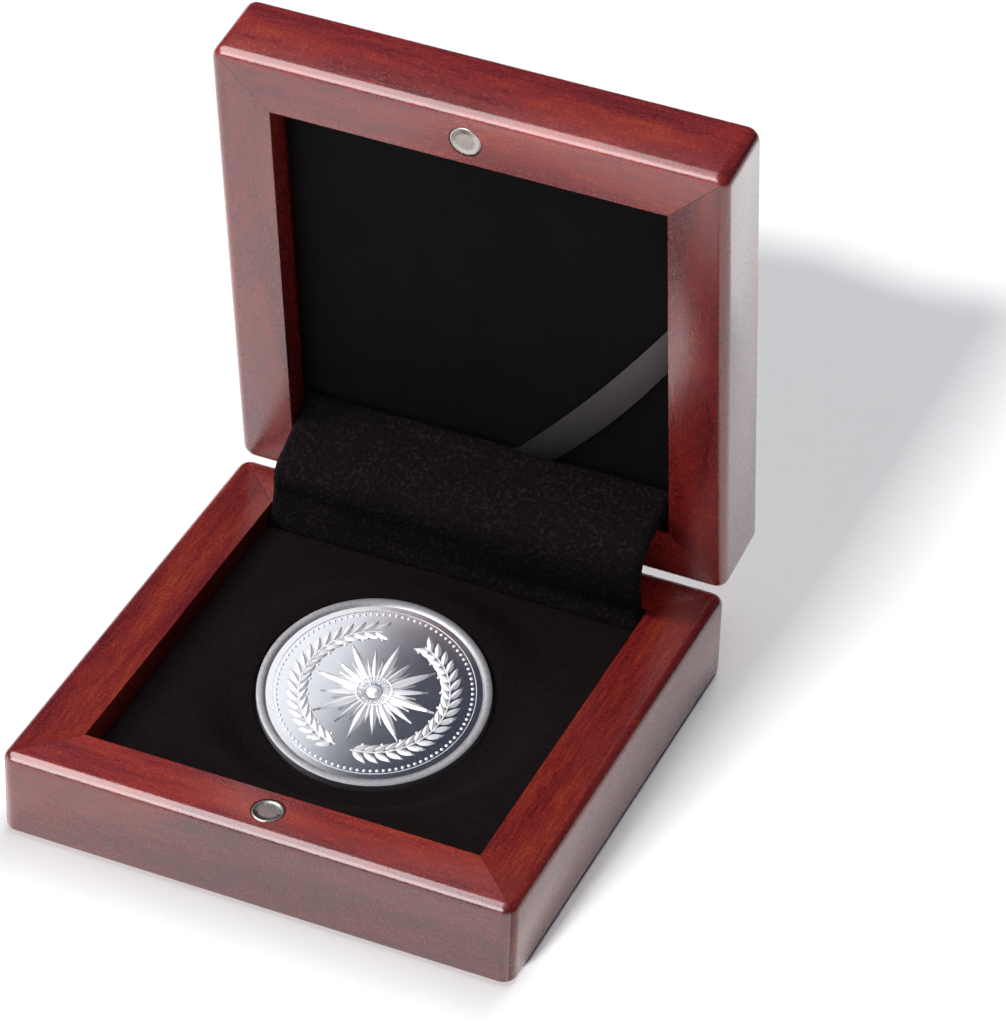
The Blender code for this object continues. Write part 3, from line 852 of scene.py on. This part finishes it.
def frosted_silver():
    look = Look("silver_frosted_relief")
    grit = look.noise(look.place((7000, 7000, 7000)), 2.0, 0.6)
    look.set(
        Base_Color=look.mix(look.spread(grit, 0.3, 0.7), (0.78, 0.79, 0.82), (0.92, 0.92, 0.94)),
        Metallic=0.55,
        Roughness=0.5,
        Normal=look.bump(grit, 0.000004),
    )
    return look.material


def rim_silver():
    look = Look("silver_rim")
    grit = look.noise(look.place((1800, 1800, 1800)), 2.0, 0.6)
    look.set(
        Base_Color=look.mix(look.spread(grit, 0.3, 0.7), (0.66, 0.66, 0.68), (0.84, 0.84, 0.86)),
        Metallic=0.85,
        Roughness=0.42,
    )
    return look.material


rim_in = coin_radius - 0.0013
field_depth = 0.00025
field_dish = 0.00008
rim_margin = 0.00008
reed_depth = 0.00010
reeds = 150


def dish(radius):
    """How far the basined field lies below its edge."""
    return field_dish * (1 - (radius / rim_in) ** 2)


def coin_body():
    """The struck blank: dished fields, raised rims and a reeded edge. Its upper face is at 0."""
    steps = reeds * 2
    back = -coin_thickness
    profile = [(radius, back + field_depth + dish(radius)) for radius in (0, 0.004, 0.008, 0.012)]
    profile += [
        (rim_in - 0.00022, back + field_depth),
        (rim_in, back),
        (coin_radius - 0.00012, back),
        (coin_radius, 0.00012 + back),
        (coin_radius, -0.00020),
        (coin_radius - 0.00008, -0.00008),
        (coin_radius - 0.00024, -0.00002),
        (coin_radius - 0.00045, 0),
        (rim_in + 0.00042, -0.00001),
        (rim_in + 0.00026, -0.00005),
        (rim_in + 0.00010, -0.00014),
        (rim_in - 0.00006, -field_depth),
    ]
    for radius in (0.0142, 0.012, 0.010, 0.008, 0.006, 0.004, 0.002, 0):
        profile.append((radius, -field_depth - dish(radius)))
    points, faces = lathe(profile, steps)
    made = []
    for x, y, z in points:
        radius = math.hypot(x, y)
        if radius > coin_radius - 0.00001 and back + 0.0001 < z < -0.0001:
            turn = round(math.atan2(y, x) / (2 * math.pi) * steps)
            cut = reed_depth if turn % 2 else 0.0
            x *= 1 - cut / radius
            y *= 1 - cut / radius
        made.append((x, y, z))
    return made, faces


def field_height(x, y):
    return -field_depth - dish(math.hypot(x, y))


class Relief:
    """Closed raised shapes that stand on the coin's field."""

    def __init__(self):
        self.points = []
        self.faces = []

    def ridge(self, outline, crest, height, sink=0.00006):
        """A raised shape: an outline on the field, and a crest line of as many points, at height."""
        start = len(self.points)
        count = len(outline)
        for x, y in outline:
            self.points.append((x, y, field_height(x, y) - sink))
        for x, y in outline:
            self.points.append((x, y, field_height(x, y) + 0.00003))
        for x, y in crest:
            self.points.append((x, y, field_height(x, y) + height))
        self.faces.append(tuple(start + k for k in reversed(range(count))))
        for k in range(count):
            after = (k + 1) % count
            self.faces.append((start + k, start + after, start + count + after, start + count + k))
            low, high = start + count, start + 2 * count
            self.faces.append((low + k, low + after, high + after, high + k))

    def leaf(self, x, y, turn, length, width, height):
        """A pointed leaf with a raised middle rib."""
        steps = 7
        right, left, rib = [], [], []
        for k in range(steps + 1):
            share = k / steps
            half = width / 2 * math.sin(math.pi * share**0.8) ** 0.9
            right.append((share * length, -half))
            left.append((share * length, half))
            rib.append((share * length, 0.0))
        outline = right + left[::-1][1:-1]
        crest = rib + rib[::-1][1:-1]

        def put(points):
            c, s = math.cos(turn), math.sin(turn)
            return [(x + px * c - py * s, y + px * s + py * c) for px, py in points]

        self.ridge(put(outline), put(crest), height)

    def bead(self, x, y, radius, height):
        steps = 10
        ring = [2 * math.pi * k / steps for k in range(steps)]
        outline = [(x + radius * math.cos(t), y + radius * math.sin(t)) for t in ring]
        crest = [(x + radius * 0.35 * math.cos(t), y + radius * 0.35 * math.sin(t)) for t in ring]
        start = len(self.points) + 2 * steps
        self.ridge(outline, crest, height)
        self.faces.append(tuple(start + k for k in range(steps)))

    def bead_ring(self, count, shift, ring_radius, radius, height):
        for k in range(count):
            turn = 2 * math.pi * (k + shift) / count
            self.bead(ring_radius * math.cos(turn), ring_radius * math.sin(turn), radius, height)

    def band(self, inner, outer, height, start_turn=0.0, end_turn=2 * math.pi, steps=180):
        """A flat raised line that follows a circle, or part of one."""
        whole = abs(end_turn - start_turn - 2 * math.pi) < 1e-6
        count = steps if whole else steps + 1
        start = len(self.points)
        sink, slope = 0.00005, 0.00004
        section = ((inner, -sink), (inner + slope, height), (outer - slope, height), (outer, -sink))
        for k in range(count):
            turn = start_turn + (end_turn - start_turn) * k / steps
            for radius, rise in section:
                x, y = radius * math.cos(turn), radius * math.sin(turn)
                self.points.append((x, y, field_height(x, y) + rise))
        for k in range(steps):
            a, b = start + 4 * k, start + 4 * ((k + 1) % count)
            for c in range(4):
                d = (c + 1) % 4
                self.faces.append((a + c, b + c, b + d, a + d))
        if not whole:
            self.faces.append(tuple(start + c for c in range(4)))
            self.faces.append(tuple(start + 4 * (count - 1) + c for c in reversed(range(4))))


def coin_relief():
    """A generic design: a many-rayed star in a leaf wreath, with beads and thin rings."""
    relief = Relief()
    relief.band(0.01395, 0.01410, 0.00010)
    relief.bead_ring(96, 0.0, 0.01350, 0.00024, 0.00012)
    stem_radius = 0.01041
    stems = ((math.radians(-84), math.radians(72), 1), (math.radians(264), math.radians(108), -1))
    for start, end, sense in stems:
        relief.band(0.01030, 0.01052, 0.00012, min(start, end), max(start, end), 60)
        for k in range(19):
            turn = start + (end - start) * (k + 0.3) / 19
            for side in (-1, 1):
                lean = math.radians(34) * side
                direction = turn + sense * math.pi / 2 - sense * lean
                reach = 0.0026 if side > 0 else 0.0023
                base = stem_radius + 0.00012 * side
                x, y = base * math.cos(turn), base * math.sin(turn)
                relief.leaf(x, y, direction, reach, 0.00092, 0.00022)
            berry = stem_radius + (0.0013 if k % 2 else -0.0013)
            spot = turn + sense * 0.11
            relief.bead(berry * math.cos(spot), berry * math.sin(spot), 0.00022, 0.00018)
    for k in range(32):
        turn = 2 * math.pi * k / 32
        length = (0.0078, 0.0046, 0.0062, 0.0046)[k % 4]
        width = (0.00125, 0.00050, 0.00090, 0.00050)[k % 4]
        x, y = 0.0012 * math.cos(turn), 0.0012 * math.sin(turn)
        relief.leaf(x, y, turn, length, width, 0.00026)
    relief.band(0.00235, 0.00260, 0.00026, steps=90)
    relief.bead_ring(20, 0.5, 0.00185, 0.00022, 0.00022)
    relief.bead(0, 0, 0.0011, 0.00036)
    return relief.points, relief.faces


struck = piece(
    "silver_coin",
    *coin_body(),
    [mirror_silver(), rim_silver()],
    "coin",
    "silver",
    coin_place,
    28,
    ("coin",),
)
back_place = coin_place.inverted()
for face in struck.data.polygons:
    middle = back_place @ face.center
    if math.hypot(middle.x, middle.y) > rim_in - rim_margin:
        face.material_index = 1
piece("coin_relief", *coin_relief(), frosted_silver(), "coin", "silver", coin_place, 24)


# Floor, lights and camera


def floor():
    look = Look("white_floor")
    faint = look.noise(look.place((3, 3, 3)), 2.0, 0.5)
    look.set(Base_Color=look.mix(faint, (0.86, 0.86, 0.86), (0.90, 0.90, 0.90)), Roughness=0.7)
    look.set(Specular_IOR_Level=0.1)
    below = (0, 0, -0.00002)
    bpy.ops.mesh.primitive_circle_add(vertices=96, radius=1.1, fill_type="NGON", location=below)
    made = bpy.context.object
    made.name = "studio_floor"
    made.data.materials.append(look.material)


def linked(name, pieces, state):
    """A collection of pieces that a light takes in or leaves out."""
    made = bpy.data.collections.new(name)
    for piece_name in pieces:
        made.objects.link(bpy.data.objects[piece_name])
        made.collection_objects[-1].light_linking.link_state = state
    return made


def lamp(name, place, target, size, power, shows="diffuse", only=None, omit=None, shadows=None):
    """A rectangular softbox that faces its target. It lights surfaces, or shows in their gloss.

    only and omit name the one object that it lights, or that it leaves out. shadows names the
    pieces that cast shadows in its light; without it, all of them do."""
    light = bpy.data.lights.new(name, "AREA")
    light.shape = "RECTANGLE"
    light.size, light.size_y = size
    light.energy = power
    made = bpy.data.objects.new(name, light)
    bpy.context.scene.collection.objects.link(made)
    made.location = place
    made.rotation_euler = (Vector(target) - Vector(place)).to_track_quat("-Z", "Y").to_euler()
    made.visible_camera = False
    made.visible_diffuse = shows == "diffuse"
    made.visible_glossy = shows == "gloss"
    if only or omit:
        made.light_linking.receiver_collection = linked(
            name + "_lit", (only or omit,), "INCLUDE" if only else "EXCLUDE"
        )
    if shadows:
        made.light_linking.blocker_collection = linked(name + "_shadows", shadows, "INCLUDE")


floor()

# The floor has lights of its own, a low key among them, and only the base's rails cast shadows there
white = "studio_floor"
base_rails = ["base_" + side + "_rail" for side in ("front", "right", "rear", "left")]
key_turn, key_height, key_reach = math.radians(7.0), math.radians(7.2), 8.0
key_flat = key_reach * math.cos(key_height)
key_place = (
    -key_flat * math.sin(key_turn),
    -key_flat * math.cos(key_turn),
    key_reach * math.sin(key_height),
)
fill_place, fill_target = (0.15, 0.10, 1.60), (0.15, 0.10, 0.0)
rear_place = (0.0, 0.80, 1.386)
origin = (0.0, 0.0, 0.0)
lamp("floor_key", key_place, origin, (1.30, 0.12), 3000.0, only=white, shadows=base_rails)
lamp("floor_fill", fill_place, fill_target, (0.80, 0.80), 8.3, only=white, shadows=base_rails)
lamp("floor_back", rear_place, origin, (0.60, 0.60), 8.9, only=white, shadows=base_rails)

# Two softboxes light the case
lamp("left_softbox", (-1.04, -0.30, 0.80), (0, 0, 0.03), (0.40, 0.40), 18.0, omit=white)
lamp("top_softbox", (0.10, 0.10, 1.30), (0.10, 0.10, 0.0), (1.40, 1.40), 12.5, omit=white)

# Cards that show only as reflections, in the lacquer and in the silver
lamp("front_card", (-0.68, -1.16, 0.84), (-0.68, 0.0, 0.84), (1.40, 0.92), 23.0, "gloss")
card_place, card_target, card_size = (-0.93, -0.310, 1.31), (-0.93, -0.310, 0.0), (1.34, 1.76)
lamp("overhead_card", card_place, card_target, card_size, 30.5, "gloss", omit="silver_coin")
lamp("coin_card", card_place, card_target, card_size, 8.8, "gloss", only="silver_coin")
lamp("floor_glow", (0.125, 0.190, 0.0005), (0.125, 0.190, 1.0), (0.10, 0.15), 0.040, "gloss")

world = bpy.data.worlds.new("dim_studio")
bpy.context.scene.world = world
world.use_nodes = True
background = world.node_tree.nodes["Background"]
background.inputs["Color"].default_value = (0.45, 0.50, 0.80, 1.0)
background.inputs["Strength"].default_value = 0.09

# The camera that the photo was fitted with: its focal length in pixels, turn vector and place
photo_width = 1006
focal_pixels = 5164.23
camera_turn = Vector((2.16964, 0.46763, -0.19592))
camera_place = (0.22559, -0.50446, 0.45400)
camera_data = bpy.data.cameras.new("camera")
camera = bpy.data.objects.new("camera", camera_data)
bpy.context.scene.collection.objects.link(camera)
bpy.context.scene.camera = camera
camera_data.sensor_fit = "HORIZONTAL"
camera_data.sensor_width = 36.0
camera_data.lens = camera_data.sensor_width * focal_pixels / photo_width
camera_data.clip_start = 0.01
camera_data.clip_end = 10.0
view = Matrix.Rotation(camera_turn.length, 3, camera_turn.normalized())
flip = Matrix(((1, 0, 0), (0, -1, 0), (0, 0, -1)))
camera.matrix_world = Matrix.Translation(camera_place) @ (flip @ view).transposed().to_4x4()

scene = bpy.context.scene
scene.view_settings.view_transform = "Standard"
scene.view_settings.look = "None"
